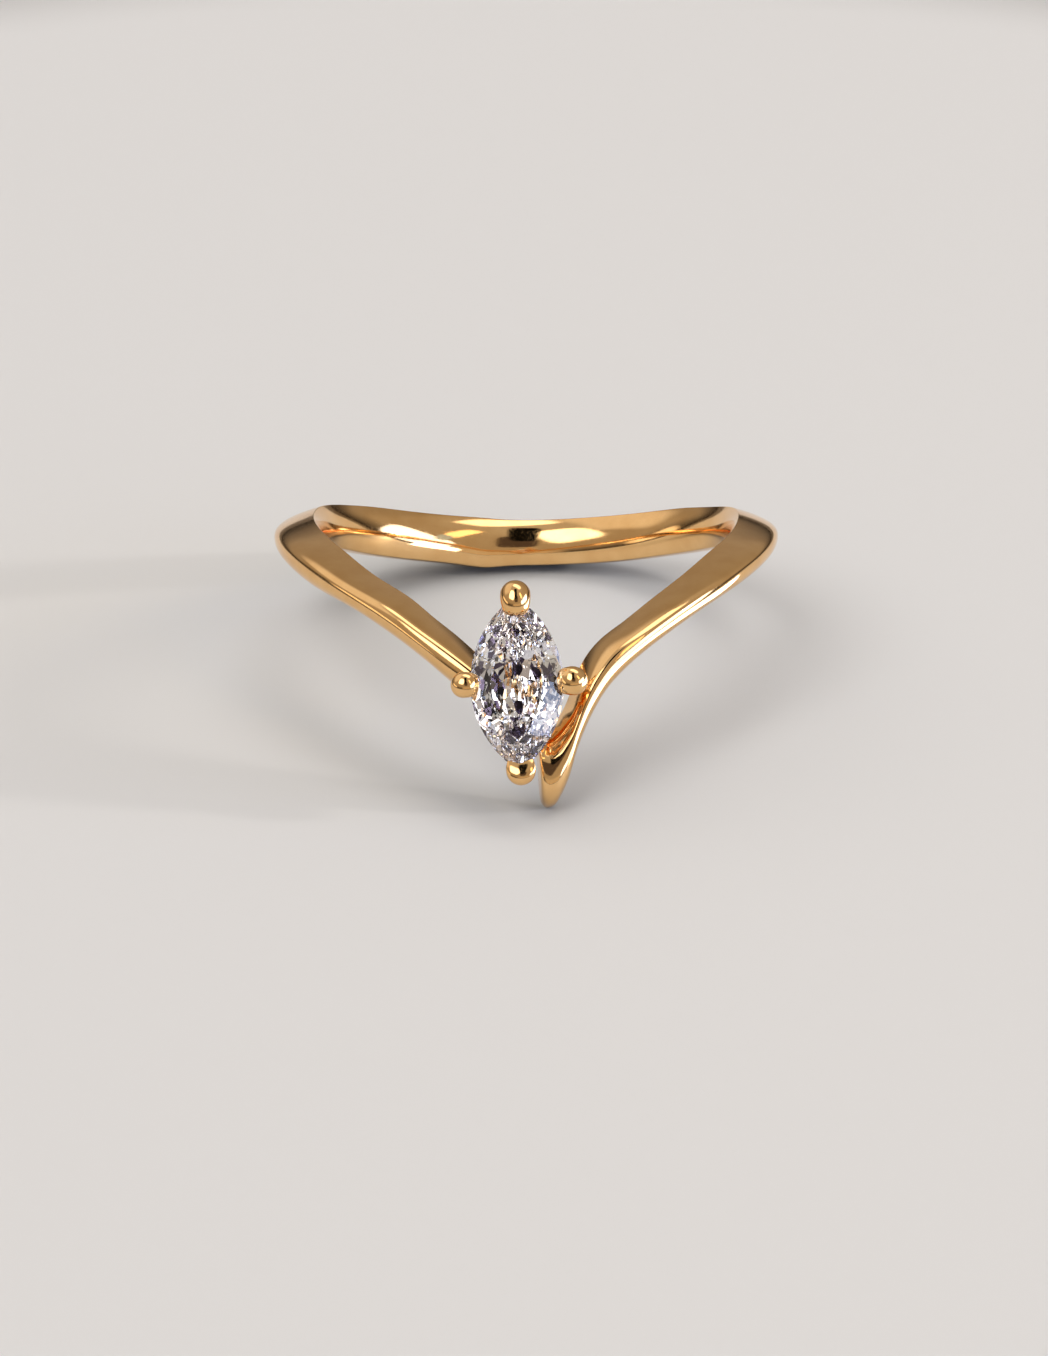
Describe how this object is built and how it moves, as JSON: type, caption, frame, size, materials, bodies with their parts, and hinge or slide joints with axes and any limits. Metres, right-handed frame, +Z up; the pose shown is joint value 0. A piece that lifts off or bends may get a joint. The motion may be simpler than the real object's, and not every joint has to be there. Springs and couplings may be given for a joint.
{
  "type": "solitaire ring",
  "caption": "Pointed gold ring with a marquise diamond in four round claws, lying on its side.",
  "frame": {"origin": "on the surface that the ring lies on, under the middle of its box", "axes": "+Z up from the surface, -Y towards the point and the stone, +Y towards the back of the shank"},
  "size_m": [0.02, 0.0242, 0.0087],
  "materials": {
    "gold": "polished",
    "diamond": "cut and polished"
  },
  "bodies": {
    "root": {"claw_set_shank": "gold", "marquise_stone": "diamond"}
  },
  "joints": []
}
